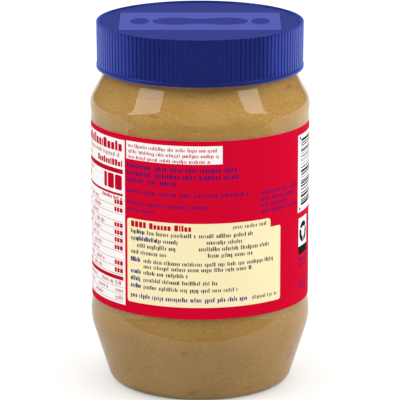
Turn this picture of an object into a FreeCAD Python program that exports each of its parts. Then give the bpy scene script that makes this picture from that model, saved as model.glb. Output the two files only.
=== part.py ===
import FreeCAD, Part
import math
import os

# A wide-mouth clear plastic jar of peanut butter, with a ribbed screw lid and a
# label wrapped round it. Millimetres, +Z up. The origin lies on the jar's axis,
# on the plane that it stands on.

# Jar, outer surface, from the label band outwards
BAND_RADIUS = 49.85  # straight band that carries the label
BAND_FILLET = 9.3  # hollow curve at each end of the band
LOWER_BEAD_STEP = 0.56  # how far the bead under the label stands out
LOWER_BEAD_CURVE = 25.3
LOWER_BEAD_HEIGHT = 33.8  # its widest place
UPPER_BEAD_STEP = 0.34  # how far the bead over the label stands out
UPPER_BEAD_CURVE = 9.9
BEAD_SPACING = 96.8  # height from one bead's widest place to the other's
FOOT_TAPER = 17.8  # degrees from upright, between the lower bead and the foot
FOOT_CURVE = 6.2
SHOULDER_SLOPE = 27.9  # degrees from upright
NECK_INSET = 6.65  # how much less the neck's radius is than the band's
NECK_FILLET = 1.6
NECK_HEIGHT = 20.0  # from the shoulder to the rim
WALL = 1.0

# Underside of the jar
RING_WIDTH = 5.0  # flat ring that the jar stands on
RING_FILLET = 2.5
PUSH_UP = 4.5  # how far the base rises in its middle

# Lid
LID_PANEL = 1.5  # thickness of its top
LID_WALL = 1.9
LID_RECESS = 0.9  # depth of the top panel below the lid's edge
LID_LIP_WIDTH = 1.0
LID_EDGE_ROUND = 0.4
LID_FLARE = 0.17  # how much wider the skirt is at its top
THREAD_ROOM = 1.9  # between the neck and the inside of the skirt
SHOULDER_GAP = 0.9  # between the shoulder's upper end and the lid's lower edge
FOOT_BAND_HEIGHT = 1.8  # smooth band under the ribs
FOOT_BAND_STEP = 0.27
FOOT_BAND_ROUND = 0.5
RIB_COUNT = 128
GROOVE_WIDTH = 0.7
GROOVE_DEPTH = 0.36
BADGE_END_GAP = 9.6  # between the raised field and the lid's edge, at each end
BADGE_DEPTH = 41.0
BADGE_RISE = 0.25
BADGE_CORNER = 2.0

# Label
LABEL_THICKNESS = 0.15
LABEL_GAP_BELOW = 1.8  # from the band's lower end to the label
LABEL_GAP_ABOVE = 3.0

ORIGIN = FreeCAD.Vector(0, 0, 0)
UP = FreeCAD.Vector(0, 0, 1)


def at(radius, height):
    """A point of a half section, in the XZ plane."""
    return FreeCAD.Vector(radius, 0, height)


class Arc:
    """An arc of a half section, set in by a wall where that is wanted.

    The angles are in degrees from +X towards +Z, in the order of the path.
    A bulging arc loses the wall from its radius, and a hollow one gains it.
    """

    def __init__(self, centre, radius, start, end, bulges=True):
        self.centre = centre
        self.radius = radius
        self.start = start
        self.end = end
        self.side = 1 if bulges else -1

    def point(self, share, inset=0.0):
        angle = math.radians(self.start + share * (self.end - self.start))
        radius = self.radius - self.side * inset
        across = self.centre[0] + radius * math.cos(angle)
        return at(across, self.centre[1] + radius * math.sin(angle))

    def edge(self, inset=0.0):
        points = [self.point(share, inset) for share in (0.0, 0.5, 1.0)]
        return Part.Arc(*points).toShape()


def joined(arcs, inset=0.0):
    """The arcs' edges, with a straight edge wherever two don't meet."""
    edges = [arcs[0].edge(inset)]
    for before, after in zip(arcs, arcs[1:]):
        here = before.point(1, inset)
        there = after.point(0, inset)
        if here.distanceToPoint(there) > 1e-6:
            edges.append(Part.makeLine(here, there))
        edges.append(after.edge(inset))
    return edges


def straight(points):
    """Straight edges from each point to the next."""
    return [Part.makeLine(a, b) for a, b in zip(points, points[1:])]


def turned(edges):
    """The solid that a closed half section makes, turned round the axis."""
    face = Part.Face(Part.Wire(edges))
    return face.revolve(ORIGIN, UP, 360)


def foot_arc():
    """The foot's arc, which touches the floor and the tapered line over it.

    The lower bead touches that line too, so the two centres lie apart, square
    to the line, by the difference of the two radii.
    """
    taper = math.radians(FOOT_TAPER)
    bead_x = BAND_RADIUS + LOWER_BEAD_STEP - LOWER_BEAD_CURVE
    drop = LOWER_BEAD_HEIGHT - FOOT_CURVE
    apart = LOWER_BEAD_CURVE - FOOT_CURVE
    centre_x = bead_x + (apart - drop * math.sin(taper)) / math.cos(taper)
    return Arc((centre_x, FOOT_CURVE), FOOT_CURVE, 270, 360 - FOOT_TAPER)


def base_arcs(ring_outside):
    """The pushed-up dome on the axis, and the fillet from it to the flat ring."""
    ring_inside = ring_outside - RING_WIDTH
    rise = PUSH_UP - RING_FILLET
    dome = (ring_inside**2 + rise**2 - RING_FILLET**2) / (2 * PUSH_UP)
    lean = math.degrees(math.asin(ring_inside / (dome + RING_FILLET)))
    return [
        Arc((0, PUSH_UP - dome), dome, 90, 90 - lean, bulges=False),
        Arc((ring_inside, RING_FILLET), RING_FILLET, 270 - lean, 270),
    ]


def bead_turn(step, curve):
    """Degrees that a bead turns before the hollow curve into the band begins."""
    return math.degrees(math.acos(1 - step / (curve + BAND_FILLET)))


def band_end(step, curve):
    """Height from a bead's widest place to the end of the straight band."""
    return (curve + BAND_FILLET) * math.sin(math.radians(bead_turn(step, curve)))


def band_bottom():
    return LOWER_BEAD_HEIGHT + band_end(LOWER_BEAD_STEP, LOWER_BEAD_CURVE)


def band_top():
    upper_bead = LOWER_BEAD_HEIGHT + BEAD_SPACING
    return upper_bead - band_end(UPPER_BEAD_STEP, UPPER_BEAD_CURVE)


def neck_radius():
    return BAND_RADIUS - NECK_INSET


def neck_bottom():
    """Height where the neck turns upright, over the shoulder's slope.

    The slope touches the upper bead on its outside and the neck's fillet on
    its inside, so square to it their centres lie the sum of the radii apart.
    """
    slope = math.radians(SHOULDER_SLOPE)
    bead_x = BAND_RADIUS + UPPER_BEAD_STEP - UPPER_BEAD_CURVE
    across = neck_radius() + NECK_FILLET - bead_x
    apart = UPPER_BEAD_CURVE + NECK_FILLET
    rise = (apart - across * math.cos(slope)) / math.sin(slope)
    return LOWER_BEAD_HEIGHT + BEAD_SPACING + rise


def rim_height():
    return neck_bottom() + NECK_HEIGHT


def wall_section(inset):
    """Edges of the jar's half section, from the axis under the base to the rim."""
    foot = foot_arc()
    low_turn = bead_turn(LOWER_BEAD_STEP, LOWER_BEAD_CURVE)
    high_turn = bead_turn(UPPER_BEAD_STEP, UPPER_BEAD_CURVE)
    low_x = BAND_RADIUS + LOWER_BEAD_STEP - LOWER_BEAD_CURVE
    high_x = BAND_RADIUS + UPPER_BEAD_STEP - UPPER_BEAD_CURVE
    low = (low_x, LOWER_BEAD_HEIGHT)
    high = (high_x, LOWER_BEAD_HEIGHT + BEAD_SPACING)
    low_hollow = (BAND_RADIUS + BAND_FILLET, band_bottom())
    high_hollow = (BAND_RADIUS + BAND_FILLET, band_top())
    neck = (neck_radius() + NECK_FILLET, neck_bottom())
    arcs = base_arcs(foot.centre[0]) + [
        foot,
        Arc(low, LOWER_BEAD_CURVE, -FOOT_TAPER, low_turn),
        Arc(low_hollow, BAND_FILLET, 180 + low_turn, 180, bulges=False),
        Arc(high_hollow, BAND_FILLET, 180, 180 - high_turn, bulges=False),
        Arc(high, UPPER_BEAD_CURVE, -high_turn, SHOULDER_SLOPE),
        Arc(neck, NECK_FILLET, 180 + SHOULDER_SLOPE, 180, bulges=False),
    ]
    neck_end = arcs[-1].point(1, inset)
    rim = at(neck_end.x, rim_height())
    return joined(arcs, inset) + straight([neck_end, rim])


def ends(edges):
    return edges[0].Vertexes[0].Point, edges[-1].Vertexes[-1].Point


def make_jar():
    outside = wall_section(0.0)
    inside = wall_section(WALL)
    outer_start, outer_end = ends(outside)
    inner_start, inner_end = ends(inside)
    rim = straight([outer_end, inner_end])
    axis = straight([inner_start, outer_start])
    return turned(outside + rim + inside[::-1] + axis)


def make_peanut_butter():
    """The filling: the whole inside of the jar, up to the rim under the lid."""
    inside = wall_section(WALL)
    start, end = ends(inside)
    return turned(inside + straight([end, at(0, end.z), start]))


def make_label():
    bottom = band_bottom() + LABEL_GAP_BELOW
    height = band_top() - LABEL_GAP_ABOVE - bottom
    foot = FreeCAD.Vector(0, 0, bottom)
    sleeve = Part.makeCylinder(BAND_RADIUS + LABEL_THICKNESS, height, foot)
    return sleeve.cut(Part.makeCylinder(BAND_RADIUS, height, foot))


def lid_bottom():
    return neck_bottom() + SHOULDER_GAP


def lid_panel_top():
    return rim_height() + LID_PANEL


def lid_top():
    return lid_panel_top() + LID_RECESS


def lid_inside():
    return neck_radius() + THREAD_ROOM


def skirt_radius():
    return lid_inside() + LID_WALL


def lip_inside():
    return skirt_radius() + LID_FLARE - LID_LIP_WIDTH


def lid_section():
    """Closed half section of the lid, from the axis over the top and back."""
    skirt = skirt_radius()
    band = skirt + FOOT_BAND_STEP
    ribs_end = lid_bottom() + FOOT_BAND_HEIGHT
    upper_x = skirt + LID_FLARE - LID_EDGE_ROUND
    upper = Arc((upper_x, lid_top() - LID_EDGE_ROUND), LID_EDGE_ROUND, 90, 0)
    lower_x = band - FOOT_BAND_ROUND
    lower = Arc((lower_x, lid_bottom() + FOOT_BAND_ROUND), FOOT_BAND_ROUND, 0, -90)
    over = [
        at(0, lid_panel_top()),
        at(lip_inside(), lid_panel_top()),
        at(lip_inside(), lid_top()),
        upper.point(0),
    ]
    side = [
        upper.point(1),
        at(skirt, ribs_end),
        at(band, ribs_end - FOOT_BAND_STEP),
        lower.point(0),
    ]
    under = [
        lower.point(1),
        at(lid_inside(), lid_bottom()),
        at(lid_inside(), rim_height()),
        at(0, rim_height()),
        at(0, lid_panel_top()),
    ]
    top_edges = straight(over) + [upper.edge()]
    side_edges = straight(side) + [lower.edge()]
    return top_edges + side_edges + straight(under)


def groove_tools():
    """A wedge for each groove between two of the ribs round the lid's skirt."""
    foot = lid_bottom() + FOOT_BAND_HEIGHT
    length = lid_top() - foot + LID_EDGE_ROUND
    deep = skirt_radius() - GROOVE_DEPTH
    proud = skirt_radius() + LID_FLARE + GROOVE_DEPTH
    half = GROOVE_WIDTH / 2 * (proud - deep) / GROOVE_DEPTH
    corners = [
        FreeCAD.Vector(deep, 0, foot),
        FreeCAD.Vector(proud, half, foot),
        FreeCAD.Vector(proud, -half, foot),
    ]
    section = Part.Face(Part.makePolygon(corners + corners[:1]))
    wedge = section.extrude(UP * length)
    tools = []
    for number in range(RIB_COUNT):
        tool = wedge.copy()
        tool.rotate(ORIGIN, UP, 360.0 / RIB_COUNT * (number + 0.5))
        tools.append(tool)
    return tools


def make_badge():
    """The raised bare field on the lid, sunk into the top panel to join it."""
    length = 2 * (lip_inside() - BADGE_END_GAP)
    sink = LID_PANEL / 2
    corner = FreeCAD.Vector(-length / 2, -BADGE_DEPTH / 2, lid_panel_top() - sink)
    block = Part.makeBox(length, BADGE_DEPTH, sink + BADGE_RISE, corner)
    upright = [edge for edge in block.Edges if edge.BoundBox.ZLength > sink]
    return block.makeFillet(BADGE_CORNER, upright)


def make_lid():
    lid = turned(lid_section()).fuse(make_badge())
    return lid.cut(groove_tools()).removeSplitter()


def main():
    nodes = {
        "jar": make_jar(),
        "peanut_butter": make_peanut_butter(),
        "label": make_label(),
        "lid": make_lid(),
    }
    os.makedirs("parts", exist_ok=True)
    for name, shape in nodes.items():
        if len(shape.Solids) != 1 or not shape.isValid():
            raise ValueError(f"{name} has to be one valid solid")
        solid = shape.Solids[0]
        if solid.Volume < 0:
            solid = solid.reversed()
        solid.exportStep(f"parts/{name}.step")
        print(f"{name}: {solid.Volume / 1000:.1f} ml, {len(solid.Faces)} faces")


main()
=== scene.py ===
import math

import bpy
import numpy as np
from mathutils.geometry import delaunay_2d_cdt
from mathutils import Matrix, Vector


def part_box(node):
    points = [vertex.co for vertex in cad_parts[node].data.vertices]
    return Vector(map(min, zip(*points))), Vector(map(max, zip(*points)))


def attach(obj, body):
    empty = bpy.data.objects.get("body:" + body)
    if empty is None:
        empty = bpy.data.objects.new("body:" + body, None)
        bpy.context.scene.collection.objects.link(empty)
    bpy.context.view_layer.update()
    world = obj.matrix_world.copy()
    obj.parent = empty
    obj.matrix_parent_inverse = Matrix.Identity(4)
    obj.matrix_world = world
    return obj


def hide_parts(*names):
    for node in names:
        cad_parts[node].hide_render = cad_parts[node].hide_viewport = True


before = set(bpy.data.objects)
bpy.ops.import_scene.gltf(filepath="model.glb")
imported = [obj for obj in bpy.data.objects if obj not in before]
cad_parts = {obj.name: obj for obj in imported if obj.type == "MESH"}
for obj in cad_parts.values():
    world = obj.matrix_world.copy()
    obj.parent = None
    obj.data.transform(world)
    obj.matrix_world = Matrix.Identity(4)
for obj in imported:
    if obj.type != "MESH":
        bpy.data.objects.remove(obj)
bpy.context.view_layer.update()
print("frame loaded:", ", ".join(sorted(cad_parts)))

mm = 0.001  # sizes below are in millimetres, and meshes are in metres


# small tools for shapes

def nodeBox(node):
    # lowest and highest corner of a construction node, in millimetres
    low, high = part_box(node)
    return np.array(low) / mm, np.array(high) / mm


def buildPiece(name, points, faces, materials, inkIndex=None, sharpAngle=40):
    # a mesh object at the origin from points in millimetres and lists of corner numbers
    mesh = bpy.data.meshes.new(name)
    mesh.from_pydata((points * mm).tolist(), [], faces)
    for material in materials:
        mesh.materials.append(material)
    if inkIndex is not None:
        mesh.polygons.foreach_set("material_index", inkIndex)
    mesh.validate()
    mesh.shade_smooth()
    mesh.set_sharp_from_angle(angle=math.radians(sharpAngle))
    piece = bpy.data.objects.new(name, mesh)
    bpy.context.scene.collection.objects.link(piece)
    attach(piece, "root")
    print(name, "made,", len(mesh.polygons), "faces")
    return piece


def arcRow(x, z, radius, first, last, step):
    # points of an arc: (x + r cos a, z + r sin a), a going from first to last degrees
    length = abs(math.radians(last - first)) * radius
    fewest = 4
    count = max(fewest, math.ceil(length / step)) + 1
    angle = np.radians(np.linspace(first, last, count))
    return np.column_stack([x + radius * np.cos(angle), z + radius * np.sin(angle)])


def joinRows(rows, step):
    # one profile from several rows of points, with evenly spaced points where two rows don't meet
    joined = [rows[0]]
    for row in rows[1:]:
        start = joined[-1][-1]
        gap = np.linalg.norm(row[0] - start)
        if gap < 1e-6:
            joined.append(row[1:])
            continue
        count = math.ceil(gap / step)
        share = np.linspace(0, 1, count + 1)[1:-1, None]
        joined.append(start + share * (row[0] - start))
        joined.append(row)
    return np.vstack(joined)


def turnProfile(profile, angles, relief=None):
    # x = r cos a, y = r sin a, z from a profile (r, z) that starts and ends on the axis, less the
    # relief (rows by columns) from r. Each end of the profile closes in one point.
    inner = profile[1:-1]
    radius = inner[:, :1] * np.ones(len(angles))
    if relief is not None:
        radius = radius - relief[1:-1]
    height = inner[:, 1:] * np.ones(len(angles))
    rows = np.stack([radius * np.cos(angles), radius * np.sin(angles), height], axis=-1)
    poles = np.array([[0, 0, profile[0, 1]], [0, 0, profile[-1, 1]]])
    points = np.vstack([rows.reshape(-1, 3), poles])
    columns = len(angles)
    here = np.arange(columns)
    beside = np.roll(here, -1)
    lower = (np.arange(len(inner) - 1) * columns)[:, None]
    corners = [lower + here, lower + beside, lower + beside + columns, lower + here + columns]
    quads = np.stack(corners, axis=-1).reshape(-1, 4)
    last = (len(inner) - 1) * columns
    startPole = np.full(columns, len(rows) * columns)
    startFan = np.column_stack([startPole, beside, here])
    endFan = np.column_stack([last + here, last + beside, startPole + 1])
    return points, quads.tolist() + startFan.tolist() + endFan.tolist()


def roundedBox(left, right, bottom, top, corner=0.0):
    # outline of a box: each corner is an arc (cx + c cos a, cz + c sin a), or a point where c is 0
    if corner == 0:
        return np.array([[left, bottom], [right, bottom], [right, top], [left, top]])
    count = 6  # points on each corner
    quarter = np.radians(np.linspace(0, 90, count))
    turns = np.concatenate([quarter + math.radians(start) for start in (180, 270, 0, 90)])
    across = np.repeat([left + corner, right - corner, right - corner, left + corner], count)
    up = np.repeat([bottom + corner, bottom + corner, top - corner, top - corner], count)
    return np.column_stack([across + corner * np.cos(turns), up + corner * np.sin(turns)])


def nutOutline(across, up, size, turn, waist=1.07, count=48):
    # a pod with two lobes: r^2 = cos 2a + sqrt(w^4 - sin^2 2a), scaled by size and turned
    angle = np.linspace(0, 2 * np.pi, count, endpoint=False)
    radius = np.sqrt(np.cos(2 * angle) + np.sqrt(waist**4 - np.sin(2 * angle) ** 2))
    flat = size * radius
    slant = angle + math.radians(turn)
    return np.column_stack([across + flat * np.cos(slant), up + flat * np.sin(slant)])


def ovalOutline(across, up, halfWidth, halfHeight, power=2.0, turn=0.0, count=32):
    # |x / w|^p + |y / h|^p = 1, turned
    angle = np.linspace(0, 2 * np.pi, count, endpoint=False)
    x = halfWidth * np.sign(np.cos(angle)) * np.abs(np.cos(angle)) ** (2 / power)
    y = halfHeight * np.sign(np.sin(angle)) * np.abs(np.sin(angle)) ** (2 / power)
    lean = math.radians(turn)
    return np.column_stack([
        across + x * math.cos(lean) - y * math.sin(lean),
        up + x * math.sin(lean) + y * math.cos(lean),
    ])


def splitByOutlines(outlines, lines=()):
    # flat triangles between all outlines and lines, with the number of the last outline over each
    points = np.vstack(list(outlines) + list(lines))
    starts = np.cumsum([0] + [len(outline) for outline in outlines])
    faces = [list(range(a, b)) for a, b in zip(starts, starts[1:])]
    edges = [(k, k + 1) for k in range(starts[-1], len(points), 2)]
    # kind 1 keeps the triangles inside the outlines, and points nearer than the tolerance are one
    kind, tolerance = 1, 1e-5
    corners, _, triangles, _, _, owners = delaunay_2d_cdt(
        points.tolist(), edges, faces, kind, tolerance
    )
    kept = [k for k, owner in enumerate(owners) if owner]
    top = np.array([max(owners[k]) for k in kept])
    corners = np.array([[c[0], c[1]] for c in corners])
    return corners, np.array([list(triangles[k]) for k in kept]), top


# small tools for materials

def screen(red, green, blue):
    # levels from 0 to 255 as linear light: ((c + 0.055) / 1.055) ^ 2.4
    level = np.array([red, green, blue]) / 255
    linear = np.where(level > 0.04045, ((level + 0.055) / 1.055) ** 2.4, level / 12.92)
    return (*linear.tolist(), 1.0)


def addNode(tree, kind, inputs=None, **settings):
    # a node with these settings; each input takes a number, a colour or another node's output
    node = tree.nodes.new(kind)
    for name, value in settings.items():
        setattr(node, name, value)
    for name, value in (inputs or {}).items():
        if isinstance(value, bpy.types.NodeSocket):
            tree.links.new(value, node.inputs[name])
        else:
            node.inputs[name].default_value = value
    return node


def startMaterial(name, **values):
    # a Principled material with these values on its own sockets
    material = bpy.data.materials.new(name)
    material.use_nodes = True
    tree = material.node_tree
    shader = tree.nodes["Principled BSDF"]
    for socket, value in values.items():
        shader.inputs[socket].default_value = value
    return material, tree, shader


def objectNoise(tree, scale, detail=2.0, stretch=(1, 1, 1)):
    # noise in the object's own metres, squeezed or stretched along its axes
    place = addNode(tree, "ShaderNodeTexCoord").outputs["Object"]
    mapping = addNode(tree, "ShaderNodeMapping", {"Vector": place, "Scale": stretch})
    sizes = {"Vector": mapping.outputs[0], "Scale": scale, "Detail": detail}
    return addNode(tree, "ShaderNodeTexNoise", sizes).outputs["Fac"]


def spread(tree, value, low, high, toLow, toHigh):
    # toLow + (toHigh - toLow) (value - low) / (high - low), kept between toLow and toHigh
    inputs = {"Value": value, "From Min": low, "From Max": high, "To Min": toLow, "To Max": toHigh}
    return addNode(tree, "ShaderNodeMapRange", inputs).outputs[0]


def addBump(tree, shader, height, distance):
    # relief in the shading only, as deep as the distance in metres
    bump = addNode(tree, "ShaderNodeBump", {"Height": height, "Distance": distance, "Strength": 1.0})
    tree.links.new(bump.outputs[0], shader.inputs["Normal"])


def blendColour(tree, factor, first, second):
    # first (1 - factor) + second factor, for colours
    return addNode(tree, "ShaderNodeMix", {0: factor, 6: first, 7: second}, data_type="RGBA").outputs[2]


def blendFloat(tree, factor, first, second):
    # first (1 - factor) + second factor, for numbers
    return addNode(tree, "ShaderNodeMix", {0: factor, 2: first, 3: second}, data_type="FLOAT").outputs[0]


# the jar's clear wall

labelLow, labelHigh = nodeBox("label")
lidLow, lidHigh = nodeBox("lid")
_, jarHigh = nodeBox("jar")

jarSpec = {
    "columns": 192,
    "step": 1.5,  # longest distance between two points of the profile
    "wall": 1.0,
    "bandRadius": labelHigh[0] - 0.15,  # straight band, under the label's film
    "bandFillet": 9.3,
    "lowerBeadCurve": 25.3,
    "lowerBeadHeight": 33.8,
    "upperBeadStep": 0.34,
    "upperBeadCurve": 9.9,
    "beadSpacing": 96.8,
    "footTaper": 17.8,  # degrees
    "footCurve": 6.2,
    "shoulderSlope": 27.9,  # degrees
    "neckInset": 6.65,
    "neckFillet": 1.6,
    "ringWidth": 5.0,
    "ringFillet": 2.5,
    "pushUp": 4.5,
    "refraction": 1.57,
    "tint": (0.985, 0.985, 0.98, 1),
    "shadowTint": (0.93, 0.93, 0.92, 1),
    "waveScale": 34,
    "waveHeight": 0.0003,
    "hazeScale": 160,
    "haze": (0.015, 0.05),  # least and most roughness
}
jarSpec["lowerBeadStep"] = jarHigh[0] - jarSpec["bandRadius"]


def wallProfile(inset):
    # half section of the jar's outside, moved in by the inset, from the axis under the base to the
    # neck: a bulging arc's radius loses the inset, and a hollow one's gains it
    s = jarSpec
    taper = math.radians(s["footTaper"])
    slope = math.radians(s["shoulderSlope"])
    lowX = s["bandRadius"] + s["lowerBeadStep"] - s["lowerBeadCurve"]
    highX = s["bandRadius"] + s["upperBeadStep"] - s["upperBeadCurve"]
    lowZ = s["lowerBeadHeight"]
    highZ = lowZ + s["beadSpacing"]
    hollowX = s["bandRadius"] + s["bandFillet"]
    lowTurn = math.acos(1 - s["lowerBeadStep"] / (s["lowerBeadCurve"] + s["bandFillet"]))
    highTurn = math.acos(1 - s["upperBeadStep"] / (s["upperBeadCurve"] + s["bandFillet"]))
    lowHollowZ = lowZ + (s["lowerBeadCurve"] + s["bandFillet"]) * math.sin(lowTurn)
    highHollowZ = highZ - (s["upperBeadCurve"] + s["bandFillet"]) * math.sin(highTurn)
    # the straight taper touches the foot's arc and the bead's
    apart = s["lowerBeadCurve"] - s["footCurve"]
    footX = lowX + (apart - (lowZ - s["footCurve"]) * math.sin(taper)) / math.cos(taper)
    ringX = footX - s["ringWidth"]
    rise = s["pushUp"] - s["ringFillet"]
    dome = (ringX**2 + rise**2 - s["ringFillet"] ** 2) / (2 * s["pushUp"])
    lean = math.degrees(math.asin(ringX / (dome + s["ringFillet"])))
    # the straight shoulder touches the bead's arc and the neck's fillet
    neckX = s["bandRadius"] - s["neckInset"] + s["neckFillet"]
    apart = s["upperBeadCurve"] + s["neckFillet"]
    neckZ = highZ + (apart - (neckX - highX) * math.cos(slope)) / math.sin(slope)
    low, high = math.degrees(lowTurn), math.degrees(highTurn)
    # centre across, centre height, radius, first and last angle, 1 where it bulges, -1 where hollow
    arcs = [
        (0, s["pushUp"] - dome, dome, 90, 90 - lean, -1),
        (ringX, s["ringFillet"], s["ringFillet"], 270 - lean, 270, 1),
        (footX, s["footCurve"], s["footCurve"], 270, 360 - s["footTaper"], 1),
        (lowX, lowZ, s["lowerBeadCurve"], -s["footTaper"], low, 1),
        (hollowX, lowHollowZ, s["bandFillet"], 180 + low, 180, -1),
        (hollowX, highHollowZ, s["bandFillet"], 180, 180 - high, -1),
        (highX, highZ, s["upperBeadCurve"], -high, s["shoulderSlope"], 1),
        (neckX, neckZ, s["neckFillet"], 180 + s["shoulderSlope"], 180, -1),
    ]
    rows = [arcRow(x, z, r - side * inset, a, b, s["step"] / 2) for x, z, r, a, b, side in arcs]
    return joinRows(rows, s["step"])


def makeWallMaterial():
    # clear PET: glass to the eye, and open to light on its way to what is inside
    s = jarSpec
    material, tree, shader = startMaterial("clearPet", **{
        "Base Color": s["tint"],
        "Transmission Weight": 1.0,
        "IOR": s["refraction"],
    })
    ripple = objectNoise(tree, s["waveScale"], 1, (1, 1, 0.5))
    haze = objectNoise(tree, s["hazeScale"], 3)
    tree.links.new(spread(tree, haze, 0.35, 0.7, *s["haze"]), shader.inputs["Roughness"])
    addBump(tree, shader, ripple, s["waveHeight"])
    output = tree.nodes["Material Output"]
    openWay = addNode(tree, "ShaderNodeBsdfTransparent", {"Color": s["shadowTint"]})
    path = addNode(tree, "ShaderNodeLightPath")
    mix = addNode(tree, "ShaderNodeMixShader", {0: path.outputs["Is Shadow Ray"]})
    tree.links.new(shader.outputs[0], mix.inputs[1])
    tree.links.new(openWay.outputs[0], mix.inputs[2])
    tree.links.new(mix.outputs[0], output.inputs["Surface"])
    return material


def makeJar():
    # the outside profile, the rim and the inside profile, turned round the axis
    outside = wallProfile(0.0)
    inside = wallProfile(jarSpec["wall"])
    rim = np.array([[outside[-1, 0], jarHigh[2]], [inside[-1, 0], jarHigh[2]]])
    profile = joinRows([outside, rim, inside[::-1]], jarSpec["step"])
    angles = np.linspace(0, 2 * np.pi, jarSpec["columns"], endpoint=False)
    points, faces = turnProfile(profile, angles)
    wall = buildPiece("jarWall", points, faces, [makeWallMaterial()])
    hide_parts("jar")


makeJar()


# the peanut butter

fillingSpec = {
    "reach": 0.15,  # how far it reaches into the wall, so that no air shows between them
    "headroom": 0.3,  # under the lid's panel
    "tone": screen(216, 176, 101),
    "deepTone": screen(206, 163, 84),
    "fleck": screen(240, 204, 136),
    "skin": screen(186, 108, 96),
    "paintedShadeLow": 0.9,  # painted shade: how bright the paste is below the label, against 1 above it
    "roughness": 0.6,
    "specular": 0.2,
    "scatterShare": 0.12,
    "scatterReach": (0.9, 0.55, 0.25),
    "scatterScale": 0.0015,
    "cloudScale": 45,
    "grainScale": 620,
    "grainHeight": 0.00015,
    "grainDark": 0.4,  # how strongly the grain's low places take the deep tone
    "grainPale": 0.36,
    # flecks: cells per metre, stretch, share of cells, radius in cells, and how strong they show
    "paleFlecks": (330, (0.7, 0.7, 2.4), 0.28, 0.3, 0.42),
    "skinFlecks": (95, (0.7, 0.7, 2.8), 0.34, 0.3, 0.55),
}


def cellFlecks(tree, scale, stretch, share, size):
    # small spots: near a Voronoi cell's centre, in that share of the cells that draws a high number
    place = addNode(tree, "ShaderNodeTexCoord").outputs["Object"]
    noise = addNode(tree, "ShaderNodeTexNoise", {"Vector": place, "Scale": scale * 1.3, "Detail": 2.0})
    shift = {0: noise.outputs["Color"], 1: (0.7 / scale,) * 3, 2: place}
    moved = addNode(tree, "ShaderNodeVectorMath", shift, operation="MULTIPLY_ADD")
    mapping = addNode(tree, "ShaderNodeMapping", {"Vector": moved.outputs[0], "Scale": stretch})
    cells = addNode(tree, "ShaderNodeTexVoronoi", {"Vector": mapping.outputs[0], "Scale": scale})
    near = spread(tree, cells.outputs["Distance"], size * 0.4, size, 1, 0)
    drawn = addNode(tree, "ShaderNodeSeparateColor", {0: cells.outputs["Color"]}).outputs[0]
    chosen = spread(tree, drawn, 1 - share, 1 - share * 0.6, 0, 1)
    both = addNode(tree, "ShaderNodeMath", {0: near, 1: chosen}, operation="MULTIPLY")
    return both.outputs[0]


def makeFillingMaterial():
    # peanut paste: two tones in soft clouds, a fine grain, pale flecks and bits of nut skin, with painted
    # shade that darkens it towards the bottom
    s = fillingSpec
    material, tree, shader = startMaterial("peanutPaste", **{
        "Roughness": s["roughness"],
        "Specular IOR Level": s["specular"],
        "Subsurface Weight": s["scatterShare"],
        "Subsurface Radius": s["scatterReach"],
        "Subsurface Scale": s["scatterScale"],
    })
    clouds = objectNoise(tree, s["cloudScale"], 3)
    grain = objectNoise(tree, s["grainScale"], 4, (1, 1, 2.2))
    colour = blendColour(tree, spread(tree, clouds, 0.3, 0.7, 0, 1), s["tone"], s["deepTone"])
    colour = blendColour(tree, spread(tree, grain, 0.3, 0.5, s["grainDark"], 0), colour, s["deepTone"])
    colour = blendColour(tree, spread(tree, grain, 0.5, 0.7, 0, s["grainPale"]), colour, s["fleck"])
    for flecks, ink in ((s["paleFlecks"], s["fleck"]), (s["skinFlecks"], s["skin"])):
        spots = cellFlecks(tree, *flecks[:4])
        colour = blendColour(tree, spread(tree, spots, 0, 1, 0, flecks[4]), colour, ink)
    # tone times a painted shade, darker towards the bottom, that goes from the spec's low value to 1, from
    # the label's foot to its head
    place = addNode(tree, "ShaderNodeTexCoord").outputs["Object"]
    height = addNode(tree, "ShaderNodeSeparateXYZ", {0: place}).outputs["Z"]
    shade = spread(tree, height, labelLow[2] * mm, labelHigh[2] * mm, s["paintedShadeLow"], 1.0)
    shaded = addNode(tree, "ShaderNodeVectorMath", {0: colour, 1: shade}, operation="MULTIPLY")
    tree.links.new(shaded.outputs[0], shader.inputs["Base Color"])
    addBump(tree, shader, grain, s["grainHeight"])
    return material


def makeFilling():
    # the inside of the wall, moved out by the reach, under a level top
    side = wallProfile(jarSpec["wall"] - fillingSpec["reach"])
    top = lidHigh[2] - lidSpec["recess"] - lidSpec["panel"] - fillingSpec["headroom"]
    cover = np.array([[side[-1, 0], top], [0, top]])
    profile = joinRows([side, cover], jarSpec["step"])
    angles = np.linspace(0, 2 * np.pi, jarSpec["columns"], endpoint=False)
    points, faces = turnProfile(profile, angles)
    filling = buildPiece("peanutFilling", points, faces, [makeFillingMaterial()])
    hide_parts("peanut_butter")


# the lid

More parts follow.
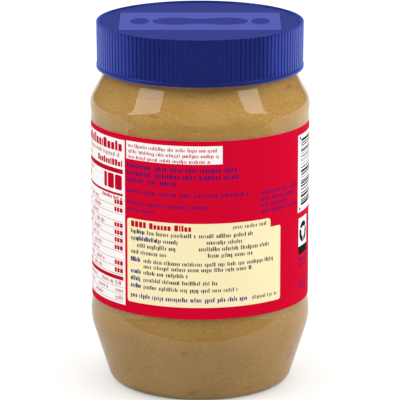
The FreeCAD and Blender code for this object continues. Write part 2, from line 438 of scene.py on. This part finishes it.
lidSpec = {
    "ribs": 128,
    "grooveWidth": 0.6,
    "grooveDepth": 0.55,
    "ribCrown": 0.015,  # how much a rib's middle stands over its edges
    "wall": 1.9,
    "panel": 1.5,
    "recess": 0.9,  # from the edge down to the top panel
    "lipWidth": 1.0,
    "edgeRound": 0.4,  # the lip's outer edge
    "lipRound": 0.5,  # the lip's inner edge
    "flare": 0.17,
    "bandHeight": 1.8,
    "bandStep": 0.27,
    "bandRound": 0.5,
    "cornerRound": 0.5,  # where the panel meets the lip
    "skirtColour": screen(50, 61, 157),
    "panelColour": screen(49, 60, 144),
    "badgeColour": screen(80, 88, 182),
    "rimLight": (0.12, 0.24, 1.0, 1),
    "badgeEndGap": 9.6,
    "badgeDepth": 41.0,
    "badgeRise": 0.25,
    "badgeSink": 0.1,  # how far its underside is below the panel
    "badgeBevel": 0.08,
    "badgeCorner": 2.0,
    "podSize": 14.875,
    "nutSize": (4.2, 7.5),  # half of its width and length
    "nutGap": 27.5,  # from the middle to the single nut at each end of the pod
    "specular": 0.15,
    "sheenRoughness": 0.48,
    # finishes: metallic share, sheen, roughness, grain's scale and height
    "skirtFinish": (0.73, 1.0, 0.3, 900, 0.00002),
    "panelFinish": (0.0, 0.0, 0.6, 1100, 0.00005),
    "badgeFinish": (0.0, 0.0, 0.7, 1500, 0.00008),
}


def ribAngles():
    # ten columns for each rib, closer together near its grooves, and how far each is from a groove
    share = np.array([0.0, 0.07, 0.13, 0.19, 0.34, 0.5, 0.66, 0.81, 0.87, 0.93])
    number = np.arange(lidSpec["ribs"])[:, None]
    pitch = 2 * np.pi / lidSpec["ribs"]
    angles = ((number + share) * pitch).ravel()
    fromGroove = np.tile(np.minimum(share, 1 - share), lidSpec["ribs"])
    return angles, fromGroove


def lidProfile():
    # half section from the axis under the panel, down the inside, up the skirt and over the lip.
    # The last column says how deep the grooves are there, from 0 to 1.
    s = lidSpec
    band = lidHigh[0]
    skirt = band - s["bandStep"]
    inside = skirt - s["wall"]
    bottom, top = lidLow[2], lidHigh[2]
    panelTop = top - s["recess"]
    panelUnder = panelTop - s["panel"]
    outerX = skirt + s["flare"] - s["edgeRound"]
    lipX = skirt + s["flare"] - s["lipWidth"]
    ribFoot = bottom + s["bandHeight"]
    sides = np.linspace(0, 1, 9)[:, None]
    skirtFoot = np.array([[skirt, ribFoot + 0.25]])
    skirtHead = np.array([[skirt + s["flare"], top - s["edgeRound"]]])
    rows = [
        (np.array([[0, panelUnder], [inside * 0.5, panelUnder], [inside, panelUnder]]), 0),
        (np.array([[inside, bottom + 8], [inside, bottom]]), 0),
        (arcRow(band - s["bandRound"], bottom + s["bandRound"], s["bandRound"], -90, 0, 0.15), 0),
        (np.array([[band, ribFoot - s["bandStep"]], [skirt + 0.05, ribFoot]]), 0),
        (skirtFoot + sides * (skirtHead - skirtFoot), 1),
        (arcRow(outerX, top - s["edgeRound"], s["edgeRound"], 18, 90, 0.1), 0.5),
        (arcRow(lipX + s["lipRound"], top - s["lipRound"], s["lipRound"], 90, 180, 0.1), 0),
        (arcRow(lipX - s["cornerRound"], panelTop + s["cornerRound"], s["cornerRound"], 0, -90, 0.15), 0),
        (np.column_stack([np.linspace(lipX - 2, 0, 8), np.full(8, panelTop)]), 0),
    ]
    profile = np.vstack([row for row, _ in rows])
    deep = np.concatenate([np.full(len(row), depth) for row, depth in rows])
    return profile, deep


def makeLidMaterial(name, colour, polish, rimLight, roughness, grainSize, grainHeight):
    # moulded polypropylene: a deep colour under a soft sheen, with the mould's fine grain
    material, tree, shader = startMaterial(name, **{
        "Base Color": colour,
        "Metallic": polish,
        "Specular IOR Level": lidSpec["specular"],
        "Sheen Weight": rimLight,
        "Sheen Roughness": lidSpec["sheenRoughness"],
        "Sheen Tint": lidSpec["rimLight"],
    })
    grain = objectNoise(tree, grainSize, 3)
    wear = objectNoise(tree, 60, 2)
    soft = spread(tree, wear, 0.3, 0.7, roughness - 0.04, roughness + 0.05)
    tree.links.new(soft, shader.inputs["Roughness"])
    addBump(tree, shader, grain, grainHeight)
    return material


def makeLid():
    # the profile turned round the axis, with r less d (1 - (a / w)^2)^1.5 in each groove, where a is
    # the way along the skirt from the groove's middle, w half its width and d its depth
    s = lidSpec
    angles, fromGroove = ribAngles()
    pitch = 2 * np.pi * (lidHigh[0] - s["bandStep"]) / s["ribs"]
    away = np.minimum(fromGroove * pitch / (s["grooveWidth"] / 2), 1)
    groove = s["grooveDepth"] * (1 - away**2) ** 1.5  # a rounded valley, level where the rib begins
    crown = s["ribCrown"] * (1 - 2 * fromGroove) ** 2
    profile, deep = lidProfile()
    relief = deep[:, None] * (groove + crown)
    points, faces = turnProfile(profile, angles, relief)
    skirt = makeLidMaterial("lidSkirtBlue", s["skirtColour"], *s["skirtFinish"])
    panel = makeLidMaterial("lidPanelBlue", s["panelColour"], *s["panelFinish"])
    lid = buildPiece("lidShell", points, faces, [skirt, panel], sharpAngle=60)
    centres = np.zeros(3 * len(lid.data.polygons))
    lid.data.polygons.foreach_get("center", centres)
    x, y, z = centres.reshape(-1, 3).T / mm
    panelTop = lidHigh[2] - s["recess"]
    onPanel = (np.hypot(x, y) < lidHigh[0] - 2) & (z > panelTop - 0.2)
    lid.data.polygons.foreach_set("material_index", onPanel.astype(int))
    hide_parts("lid")


def makeSlab(name, outlines, holes, low, high, material):
    # a flat plate between two heights: the outlines less the holes, closed by walls round every edge
    corners, triangles, top = splitByOutlines(outlines + holes)
    keep = triangles[top < len(outlines)]
    used, numbers = np.unique(keep, return_inverse=True)
    keep = numbers.reshape(keep.shape)
    flat = corners[used]
    count = len(flat)
    turn = np.cross(flat[keep[:, 1]] - flat[keep[:, 0]], flat[keep[:, 2]] - flat[keep[:, 0]])
    keep = np.where(turn[:, None] > 0, keep, keep[:, ::-1])
    edges = np.vstack([keep[:, [0, 1]], keep[:, [1, 2]], keep[:, [2, 0]]])
    code = edges[:, 0] * count + edges[:, 1]
    border = edges[~np.isin(code, edges[:, 1] * count + edges[:, 0])]
    walls = np.column_stack([border[:, 1], border[:, 0], border[:, 0] + count, border[:, 1] + count])
    above = np.column_stack([flat, np.full(count, high)])
    below = np.column_stack([flat, np.full(count, low)])
    faces = keep.tolist() + (keep[:, ::-1] + count).tolist() + walls.tolist()
    return buildPiece(name, np.vstack([above, below]), faces, [material])


def makeBadge():
    # the raised field on the top panel: a frosted box round a pod and two nuts that stay smooth
    s = lidSpec
    panelTop = lidHigh[2] - s["recess"]
    lipInside = lidHigh[0] - s["bandStep"] + s["flare"] - s["lipWidth"]
    half = lipInside - s["badgeEndGap"]
    deep = s["badgeDepth"] / 2
    field = roundedBox(-half, half, -deep, deep, s["badgeCorner"])
    nuts = [ovalOutline(side * s["nutGap"], 0, *s["nutSize"]) for side in (-1, 1)]
    pod = nutOutline(0, 0, s["podSize"], 0)
    material = makeLidMaterial("lidFrostBlue", s["badgeColour"], *s["badgeFinish"])
    low, high = panelTop - s["badgeSink"], panelTop + s["badgeRise"]
    badge = makeSlab("lidBadge", [field], [pod] + nuts, low, high, material)
    bevel = badge.modifiers.new("softEdge", "BEVEL")
    bevel.width = s["badgeBevel"] * mm
    bevel.segments = 2
    bevel.angle_limit = math.radians(40)


makeFilling()
makeLid()
makeBadge()


# The label. Places on it are (s, z): s is the arc length from the side that faces -Y, towards
# +X, and z is the height. Its ends meet at the seam.

labelSpec = {
    "columns": 180,
    "seam": -100.0,
    "film": 0.14,  # the sleeve's thickness
    "seed": 508,
    "specular": 0.005,
    "roughness": (0.45, 0.58),
    "patchScale": 120,
    "grainScale": 1400,
    "grainHeight": 0.00001,
    "inks": {
        "labelRed": screen(211, 8, 47),
        "labelWhite": screen(250, 249, 247),
        "cardCream": screen(252, 238, 191),
        "textRed": screen(196, 8, 42),
        "textPlum": screen(70, 22, 104),
        "textBlue": screen(44, 48, 130),
        "textBrown": screen(58, 40, 70),
        "ribbonBlue": screen(44, 52, 140),
        "nutTan": screen(214, 160, 90),
        "nutShade": screen(176, 120, 58),
        "barBlack": screen(28, 26, 32),
    },
    # Marks are (widths, base, height, gap), words are (base, size, weight), and lines of words are
    # (left, right, base, size, weight). A mark whose width is below nothing is a lower one.
    "panel": {
        "box": (-93.0, -37.0, 44.9, 121.4),
        "leftMargin": 2.0,
        "rightMargin": 1.2,
        "title": (
            (3.4, -2.4, 1.6, -1.8, 1.2, 1.6, -2.6, -2.4, -1.1, 2.9, -2.5, -2.4, 1.7, -2.3),
            115.9, 4.5, 0.55,
        ),
        "titleWords": (113.0, 1.5, 0.5),
        "portion": ((1.8, -1.3, -1.7, 1.5, -1.5, -1.5, 0.9, 1.7, 1.7, -1.6, 0.8), 108.8, 3.0, 0.4),
        "portionWords": (109.2, 1.6, 0.55),
        "thickBars": ((105.5, 107.7), (95.3, 96.4), (56.0, 57.8)),
        "amountWords": (102.9, 1.3, 0.5),
        "amountName": ((3.0, -2.4, 1.0, -2.4, -1.6, 1.0, -2.4, -2.2), 98.2, 4.2, 0.5),
        "amount": ((2.4, 4.8, 4.8), 97.9, 6.9, 0.7),
        "columnHead": (93.3, 1.25, 0.68),
        "rowBase": 91.1,  # of the first row
        "rowPitch": 3.53,
        "rowCount": 10,
        "indents": (0, 3, 0, 6, 3),
        "bareRows": (2, 7),
        "share": (1.5, 1.6, 1.9),
        "lowRowBase": 53.6,
        "lowRowPitch": 3.4,
        "lowRowCount": 3,
    },
    "note": {
        "box": (-36.0, 10.1, 113.4, 121.7),
        "ends": (8.2, 8.6, 5.0),
        "plumLines": (
            (-35.6, 17.2, 109.4, 1.95, 0.55),
            (-35.6, 18.2, 106.2, 1.95, 0.55),
            (-35.6, -9.5, 102.9, 1.95, 0.55),
            (-35.6, 23.0, 98.0, 1.75, 0.5),
            (-35.6, 3.5, 92.7, 1.6, 0.5),
            (-35.6, -20.5, 89.6, 1.35, 0.5),
        ),
        "sideEnds": (53.5, 51.0, 45.0, 54.0),
    },
    "card": {
        "box": (-35.6, 40.5, 47.3, 82.0),
        "corner": 1.2,
        "tabRight": 34.3,
        "tabTop": 86.2,
        "tabCorner": 1.6,
        "heading": (
            (1.9, 1.8, 1.8, 1.5),
            (1.8, -1.4, -1.4, -1.1, -1.4, -1.5),
            (1.8, 0.7, 1.0, -1.4, -1.3),
        ),
        "headingMarks": (82.5, 2.8, 0.36),
        "tabWords": (15.0, 32.5, 83.3, 1.3, 0.52),
        "columnBase": 79.6,
        "leftLines": ((-33.4, -1.4), (-33.4, -10.0), (-30.0, -11.0), (-33.4, -15.0)),
        "leftPitch": 3.15,
        "rightLines": ((-0.5, 25.0), (3.0, 20.0), (-0.5, 34.0), (3.5, 24.5)),
        "rightPitch": 3.0,
        # a step's base, its right end, and whether a bold word leads it
        "steps": (
            (66.5, 36.5, True),
            (63.9, 24.0, False),
            (61.0, -5.3, True),
            (57.7, 8.5, True),
            (54.4, 17.5, True),
        ),
        "lastLine": (-33.6, 22.5, 49.8, 1.5, 0.62),
        "lastWords": (24.5, 38.5, 49.8, 1.3, 0.52),
    },
    "codeBox": {
        "box": (54.5, 77.6, 84.3, 120.3),
        "edges": 48,
        "margin": 2.2,
        "barLeft": 3.4,
        "barRight": 1.4,
    },
    "smallBox": {
        "box": (55.5, 66.7, 64.3, 81.4),
        "foot": 3.8,
        "ringDrop": 7.0,  # from the box's top to the ring's middle
        "ringOutside": (4.6, 4.9),
        "ringInside": (2.3, 2.5),
        "breaks": (30, 150, 270),
        "breakReach": 3.6,
        "breakSize": (1.8, 0.4),
    },
    "front": {
        "middle": (141.0, 75.0),
        "oval": (70.0, 29.5),
        "ovalPower": 2.6,
        "blueEdge": (3.4, 3.0),
        "creamEdge": (4.6, 4.2),
        # a pod's place from the oval's middle, its size and its turn
        "pods": (
            (-36, -11, 6.0, 24),
            (-13, -15, 6.8, -16),
            (13, -14.5, 6.6, 12),
            (37, -10.5, 6.0, -28),
        ),
        "podDots": ((-1.0, -0.45, 0.45, 1.0), (-0.22, 0.2)),
        # the ribbon's three boxes and two bars: ink, half width, bottom and top from the oval's
        # middle, corner
        "boxes": (
            ("ribbonBlue", 47, -1, 16, 3.0),
            ("labelWhite", 44, 1, 14, 2.0),
            ("ribbonBlue", 42.6, 2.2, 12.8, 1.5),
            ("labelWhite", 27, 35.2, 38.4, 1.6),
            ("labelWhite", 16, -23.4, -22.2, 0.6),
        ),
    },
}

inkShapes = []
draw = np.random.default_rng(labelSpec["seed"])


def addInk(ink, outlines):
    # these outlines in this ink, over all that was drawn before
    inkShapes.extend((ink, outline) for outline in outlines)


def addBox(ink, left, right, bottom, top, corner=0.0):
    # a box in this ink
    addInk(ink, [roundedBox(left, right, bottom, top, corner)])


def addWords(ink, left, right, base, size, weight=0.5, wordLength=(4, 12), talls=0.24):
    # a line of greeked words: upright strokes a steady pitch apart, x = left + pitch (k + gaps),
    # a gap after each few strokes, and a share of the strokes taller or lower than the rest
    pitch = 0.62 * size
    count = max(3, int((right - left) / pitch))
    ends = np.cumsum(draw.integers(wordLength[0], wordLength[1], size=count))
    gaps = np.searchsorted(ends, np.arange(count), side="right")
    start = left + pitch * (np.arange(count) + 1.1 * gaps + draw.uniform(-0.08, 0.08, count))
    width = weight * pitch * draw.uniform(0.8, 1.25, count)
    kind = draw.random(count)
    top = base + size * np.where(kind < talls, 1.4, 1.0)
    foot = base - size * np.where(kind > 1 - talls / 3, 0.35, 0.0)
    inside = start + width <= right
    corners = [(start, foot), (start + width, foot), (start + width, top), (start, top)]
    boxes = np.stack([np.column_stack(corner) for corner in corners], axis=1)[inside]
    addInk(ink, boxes)


def addLines(ink, left, rights, base, pitch, size, weight=0.5, **more):
    # greeked lines, one for each right end, each lower than the one before by the pitch
    for number, right in enumerate(rights):
        addWords(ink, left, right, base - pitch * number, size, weight, **more)


def marksWidth(widths, gap):
    # the sum of |width| + gap
    return sum(abs(width) + gap for width in widths)


def addMarks(ink, left, widths, base, height, gap):
    # bold rounded blocks side by side, and a lower one wherever the width is below nothing
    ends = left + np.cumsum(np.abs(widths) + gap)
    for width, end in zip(widths, ends):
        rise = height if width > 0 else 0.76 * height
        corner = 0.2 * min(abs(width), height)
        addBox(ink, end - gap - abs(width), end - gap, base, base + rise, corner)


def addMarksTo(ink, right, widths, base, height, gap):
    # the same blocks, ending at the right
    addMarks(ink, right - marksWidth(widths, gap), widths, base, height, gap)


def drawPanel():
    # the table of contents: title, thick bars, and rows with bold marks at the right end
    p = labelSpec["panel"]
    ink = "textRed"
    left, right = p["box"][0] + p["leftMargin"], p["box"][1] - p["rightMargin"]
    upperBar, middleBar, lowerBar = p["thickBars"]
    addBox("labelWhite", *p["box"])
    addMarksTo(ink, right, *p["title"])
    addWords(ink, left, right - 1.5, *p["titleWords"])
    addMarksTo(ink, right, *p["portion"])
    addWords(ink, left, right - 30, *p["portionWords"])
    addBox(ink, left, right, *upperBar)
    addWords(ink, left, left + 26, *p["amountWords"])
    addMarks(ink, left, *p["amountName"])
    addMarks(ink, right - 14.0, *p["amount"])
    addBox(ink, left, right, *middleBar)
    addWords(ink, right - 16, right, *p["columnHead"])
    for row in range(p["rowCount"]):
        base = p["rowBase"] - row * p["rowPitch"]
        start = left + p["indents"][row % len(p["indents"])]
        addBox(ink, left, right, base - 0.85, base - 0.65)
        addWords(ink, start, start + 20, base, 1.4, 0.66 - 0.08 * (row % 3))
        addWords(ink, start + 24, start + 33, base, 1.4, 0.52)
        if row not in p["bareRows"]:
            addMarks(ink, right - 5.9, p["share"], base, 2.1, 0.3)
    addBox(ink, left, right, *lowerBar)
    for row in range(p["lowRowCount"]):
        base = p["lowRowBase"] - row * p["lowRowPitch"]
        addBox(ink, left, right, base - 0.95, base - 0.78)
        addWords(ink, left, left + 30 - 4 * row, base, 1.3, 0.5)
        addWords(ink, left + 36 - 4 * row, left + 46 - 4 * row, base, 1.3, 0.5)
        addWords(ink, right - 5.5, right, base, 1.4, 0.5)
    # a thin rule beside the panel's upper half
    _, side, bottom, top = p["box"]
    addBox(ink, side + 0.3, side + 0.55, bottom + 38, top)


def drawNotes():
    # the white note over the card, and the plum lines on red, whose strokes are all one height
    n = labelSpec["note"]
    addBox("labelWhite", *n["box"])
    addLines("textRed", -35.0, n["ends"], 118.9, 2.55, 1.2, 0.56)
    for line in n["plumLines"]:
        addWords("textPlum", *line, talls=0.0)
    addLines("textPlum", 29.0, n["sideEnds"], 97.6, 2.85, 1.65, 0.5, talls=0.0)


def drawCard():
    # the cream card with its raised tab, two short columns, a few steps and a last bold line
    c = labelSpec["card"]
    left, right, bottom, top = c["box"]
    addBox("cardCream", left, c["tabRight"], top - 4, c["tabTop"], c["tabCorner"])
    addBox("cardCream", left, right, bottom, top, c["corner"])
    base, height, gap = c["headingMarks"]
    start = left + 2.2
    for word in c["heading"]:
        addMarks("textRed", start, word, base, height, gap)
        start += marksWidth(word, gap) + 1.3
    addWords("textBrown", *c["tabWords"])
    for number, (lefts, rights) in enumerate(zip(c["leftLines"], c["rightLines"])):
        addWords("textBrown", *lefts, c["columnBase"] - c["leftPitch"] * number, 1.4, 0.58)
        addWords("textBrown", *rights, c["columnBase"] - c["rightPitch"] * number, 1.4, 0.58)
    # two bold names in the left column
    addWords("textBlue", -30.2, -26.2, 79.6, 1.5, 0.7, wordLength=(5, 6))
    addWords("textBlue", -30.2, -19.5, 76.45, 1.5, 0.7, wordLength=(9, 10))
    for base, end, lead in c["steps"]:
        if lead:
            addWords("textBlue", -33.6, -27.4, base, 1.5, 0.72, wordLength=(6, 7))
        addWords("textBrown", -26.6, end, base, 1.35, 0.58)
    addWords("textBlue", *c["lastLine"])
    addWords("textBrown", *c["lastWords"])


def drawCodes():
    # a generic stripe code lying on its side, a small box with a broken ring, and short lines
    b = labelSpec["codeBox"]
    left, right, bottom, top = b["box"]
    addBox("labelWhite", left, right, bottom, top)
    steps = draw.integers(1, 5, size=b["edges"])
    room = top - bottom - 2 * b["margin"]
    edges = bottom + b["margin"] + np.cumsum(steps) * room / steps.sum()
    for low, high in zip(edges[:-1:2], edges[1::2]):
        addBox("barBlack", left + b["barLeft"], right - b["barRight"], low, high)
    for middle in (bottom + 1.5, top - 1.5):
        addInk("barBlack", [ovalOutline(left + 2.2, middle, 0.8, 0.6)])
    s = labelSpec["smallBox"]
    left, right, bottom, top = s["box"]
    addBox("labelWhite", left, right, bottom, top)
    addBox("barBlack", left, right, bottom, bottom + s["foot"])
    middle, height = (left + right) / 2, top - s["ringDrop"]
    addInk("barBlack", [ovalOutline(middle, height, *s["ringOutside"])])
    addInk("labelWhite", [ovalOutline(middle, height, *s["ringInside"])])
    for turn in s["breaks"]:
        across = middle + s["breakReach"] * math.cos(math.radians(turn))
        up = height + s["breakReach"] * math.sin(math.radians(turn))
        addInk("labelWhite", [ovalOutline(across, up, *s["breakSize"], power=6, turn=turn)])
    addLines("textPlum", 55.5, (70.0, 67.0), 61.2, 2.4, 1.3, 0.5)
    addLines("textPlum", 55.5, (69.0, 66.0), 50.4, 2.4, 1.3, 0.5)


def drawPod(across, up, size, turn):
    # a shade outline, a tan one a little above it, and dots that lean with the pod
    dot = 0.14 * size
    addInk("nutShade", [nutOutline(across, up, size, turn)])
    across, up = across - 0.4, up + 0.5
    addInk("nutTan", [nutOutline(across, up, size * 0.9, turn)])
    lean = math.radians(turn)
    alongs, besides = labelSpec["front"]["podDots"]
    for along in alongs:
        for beside in besides:
            x = size * (along * math.cos(lean) - beside * math.sin(lean))
            y = size * (along * math.sin(lean) + beside * math.cos(lean))
            spot = ovalOutline(across + x, up + y, dot, dot / 2, turn=turn + 80, count=12)
            addInk("nutShade", [spot])


def drawFront():
    # the side with the big oval: a blue edge, a cream line, pods, a bare blue ribbon and two bars
    f = labelSpec["front"]
    middle, height = f["middle"]
    wide, tall = f["oval"]
    insets = {"ribbonBlue": (0, 0), "cardCream": f["blueEdge"], "labelRed": f["creamEdge"]}
    for ink, (across, up) in insets.items():
        outline = ovalOutline(middle, height, wide - across, tall - up, f["ovalPower"], count=96)
        addInk(ink, [outline])
    for across, up, size, turn in f["pods"]:
        drawPod(middle + across, height + up, size, turn)
    for ink, half, low, high, corner in f["boxes"]:
        addBox(ink, middle - half, middle + half, height + low, height + high, corner)


def makeInkMaterial(name, colour):
    # printed film: a plain ink under a thin clear skin, with the film's faint unevenness
    material, tree, shader = startMaterial(name, **{
        "Base Color": colour,
        "Specular IOR Level": labelSpec["specular"],
    })
    film = objectNoise(tree, labelSpec["patchScale"], 2)
    grain = objectNoise(tree, labelSpec["grainScale"], 2)
    tree.links.new(spread(tree, film, 0.3, 0.7, *labelSpec["roughness"]), shader.inputs["Roughness"])
    addBump(tree, shader, grain, labelSpec["grainHeight"])
    return material


def nextAlong(row):
    # the same row of numbers, one place on, and round to its start
    return np.roll(row, -1)


def makeLabel():
    # the print is flat at first, cut by upright lines; then x = r sin(s / r), y = -r cos(s / r)
    s = labelSpec
    outer = labelHigh[0]
    bottom, top = labelLow[2], labelHigh[2]
    around = 2 * np.pi * outer
    addInk("labelRed", [roundedBox(s["seam"], s["seam"] + around, bottom, top)])
    drawPanel()
    drawNotes()
    drawCard()
    drawFront()
    drawCodes()
    columns = s["seam"] + around * np.arange(1, s["columns"]) / s["columns"]
    lines = [np.array([[c, bottom], [c, top]]) for c in columns]
    flat, triangles, owner = splitByOutlines([outline for _, outline in inkShapes], lines)
    near = 1e-4  # places this close are one
    flat[np.abs(flat[:, 0] - s["seam"] - around) < near, 0] = s["seam"]
    flat, numbers = np.unique(np.round(flat, 5), axis=0, return_inverse=True)
    triangles = numbers.ravel()[triangles]
    names = list(s["inks"])
    inkOf = np.array([names.index(ink) for ink, _ in inkShapes])[owner]
    real = (triangles[:, 0] != triangles[:, 1]) & (triangles[:, 1] != triangles[:, 2])
    real &= triangles[:, 0] != triangles[:, 2]
    triangles, inkOf = triangles[real], inkOf[real]
    turn = flat[:, 0] / outer
    points = np.column_stack([outer * np.sin(turn), -outer * np.cos(turn), flat[:, 1]])
    first, second, third = (points[triangles[:, k]] for k in range(3))
    away = np.cross(second - first, third - first)
    middle = points[triangles].mean(axis=1)
    inward = (away[:, 0] * middle[:, 0] + away[:, 1] * middle[:, 1]) < 0
    triangles = np.where(inward[:, None], triangles[:, ::-1], triangles)
    # the inner side of the sleeve, and its two edges
    inner = outer - s["film"]
    ends = [np.flatnonzero(np.abs(flat[:, 1] - height) < near) for height in (bottom, top)]
    lower, upper = (end[np.argsort(flat[end, 0])] for end in ends)
    count = len(points)
    shrink = np.array([inner / outer, inner / outer, 1])
    points = np.vstack([points, points[lower] * shrink, points[upper] * shrink])
    innerLower = count + np.arange(len(lower))
    innerUpper = count + len(lower) + np.arange(len(upper))
    foot = np.column_stack([lower, innerLower, nextAlong(innerLower), nextAlong(lower)])
    head = np.column_stack([upper, nextAlong(upper), nextAlong(innerUpper), innerUpper])
    back = np.column_stack([innerLower, innerUpper, nextAlong(innerUpper), nextAlong(innerLower)])
    quads = np.vstack([foot, head, back])
    inkIndex = np.concatenate([inkOf, np.full(len(quads), names.index("labelWhite"))])
    materials = [makeInkMaterial(name, colour) for name, colour in s["inks"].items()]
    label = buildPiece("labelSleeve", points, triangles.tolist() + quads.tolist(), materials, inkIndex)
    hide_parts("label")


makeLabel()


# camera, table and light

studioSpec = {
    "cameraPlace": (0, -1.4488, 0.4528),
    "cameraPitch": 14.2603,  # degrees down
    "lens": 292.1,
    "sensor": 36,
    "tableFront": -0.11,  # the white table ends here, and the room beyond it is dim
    "tableReach": 4.0,
    "tableHeight": -0.0001,  # just under the jar, so that the two surfaces don't coincide
    "aimHeight": 0.1,
    "tableTone": 0.8,
    "tableGlow": 0.32,  # seen by the eye only, so that the table is white beside a soft shadow
    "ambient": 0.93,
    "roomInGloss": 0.10,
    "lampPlace": (100, 15),  # azimuth and elevation, degrees
    "lampDistance": 1.5,
    "lampSize": 0.8,
    "lampPower": 4.0,
    # glowing panels: corners as (azimuth, elevation), distance, radiance, and shown in gloss
    "softboxes": {
        "softboxLeft": (((-81, 14), (-77, 15), (-54, 36), (-48, 39), (-48, 52), (-81, 52)), 1.6, 2.7, True),
        "softboxRight": (((77, 22), (77, 52), (50, 52), (50, 39), (55, 37), (62, 31)), 1.6, 3.0, True),
        "softboxTop": ([(azimuth, 68) for azimuth in range(0, 360, 45)], 1.4, 1.2, False),
    },
}


def makeCamera():
    # level from side to side, looking down by the pitch
    camera = bpy.data.objects.new("camera", bpy.data.cameras.new("camera"))
    camera.data.lens = studioSpec["lens"]
    camera.data.sensor_width = studioSpec["sensor"]
    camera.data.clip_start = 0.01
    camera.data.clip_end = 100
    camera.location = studioSpec["cameraPlace"]
    camera.rotation_euler = (math.radians(90 - studioSpec["cameraPitch"]), 0, 0)
    bpy.context.scene.collection.objects.link(camera)
    bpy.context.scene.camera = camera


def makeWorld():
    # white to the eye, an even soft light on everything, and a dim room in reflections
    world = bpy.data.worlds.new("studio")
    world.use_nodes = True
    world.cycles.sampling_method = "NONE"
    bpy.context.scene.world = world
    tree = world.node_tree
    background = tree.nodes["Background"]
    path = addNode(tree, "ShaderNodeLightPath")
    eyes = {0: path.outputs["Is Camera Ray"], 1: path.outputs["Is Transmission Ray"]}
    seen = addNode(tree, "ShaderNodeMath", eyes, operation="MAXIMUM")
    ambient, roomInGloss = studioSpec["ambient"], studioSpec["roomInGloss"]
    light = blendFloat(tree, path.outputs["Is Glossy Ray"], ambient, roomInGloss)
    light = blendFloat(tree, seen.outputs[0], light, 1.0)
    background.inputs["Color"].default_value = (1, 1, 1, 1)
    tree.links.new(light, background.inputs["Strength"])


def makeTable():
    # a white plane that glows a little to the camera's eye only
    s = studioSpec
    front, reach, height = s["tableFront"], s["tableReach"], s["tableHeight"]
    sides = [(-reach, front), (reach, front), (reach, reach), (-reach, reach)]
    corners = [(x, y, height) for x, y in sides]
    mesh = bpy.data.meshes.new("table")
    mesh.from_pydata(corners, [], [(0, 1, 2, 3)])
    table = bpy.data.objects.new("table", mesh)
    bpy.context.scene.collection.objects.link(table)
    material, tree, shader = startMaterial("tableWhite", **{
        "Base Color": (s["tableTone"], s["tableTone"], s["tableTone"], 1),
        "Roughness": 0.9,
        "Specular IOR Level": 0.0,
    })
    path = addNode(tree, "ShaderNodeLightPath")
    strength = blendFloat(tree, path.outputs["Is Camera Ray"], 0.0, s["tableGlow"])
    shader.inputs["Emission Color"].default_value = (1, 1, 1, 1)
    tree.links.new(strength, shader.inputs["Emission Strength"])
    mesh.materials.append(material)


def makeSoftbox(name, corners, distance, radiance, inGloss):
    # a glowing panel; each corner is (azimuth from the camera's side towards +X, elevation) as the
    # jar's middle sees it: x = d cos e sin a, y = -d cos e cos a, z = d sin e over that middle
    azimuth, elevation = np.radians(np.array(corners)).T
    flat = distance * np.cos(elevation)
    places = np.column_stack([
        flat * np.sin(azimuth),
        -flat * np.cos(azimuth),
        studioSpec["aimHeight"] + distance * np.sin(elevation),
    ])
    mesh = bpy.data.meshes.new(name)
    mesh.from_pydata(places.tolist(), [], [list(range(len(corners)))])
    panel = bpy.data.objects.new(name, mesh)
    bpy.context.scene.collection.objects.link(panel)
    panel.visible_camera = False
    panel.visible_glossy = inGloss
    material = bpy.data.materials.new(name)
    material.use_nodes = True
    tree = material.node_tree
    tree.nodes.remove(tree.nodes["Principled BSDF"])
    glow = addNode(tree, "ShaderNodeEmission", {"Strength": radiance})
    tree.links.new(glow.outputs[0], tree.nodes["Material Output"].inputs["Surface"])
    mesh.materials.append(material)


def makeSideLamp():
    # a wide soft lamp on the +X side, aimed at the jar's middle
    s = studioSpec
    azimuth, elevation = np.radians(s["lampPlace"])
    lamp = bpy.data.objects.new("sideLamp", bpy.data.lights.new("sideLamp", "AREA"))
    lamp.data.shape = "DISK"
    lamp.data.size = s["lampSize"]
    lamp.data.energy = s["lampPower"]
    flat = s["lampDistance"] * math.cos(elevation)
    rise = s["lampDistance"] * math.sin(elevation)
    lamp.location = (flat * math.sin(azimuth), -flat * math.cos(azimuth), s["aimHeight"] + rise)
    lamp.rotation_euler = (math.pi / 2 - elevation, 0, azimuth)
    lamp.visible_glossy = False
    bpy.context.scene.collection.objects.link(lamp)


makeCamera()
makeWorld()
makeTable()
for softbox, settings in studioSpec["softboxes"].items():
    makeSoftbox(softbox, *settings)
makeSideLamp()
print("camera, table and lights made")
bpy.context.scene.view_settings.view_transform = "Standard"
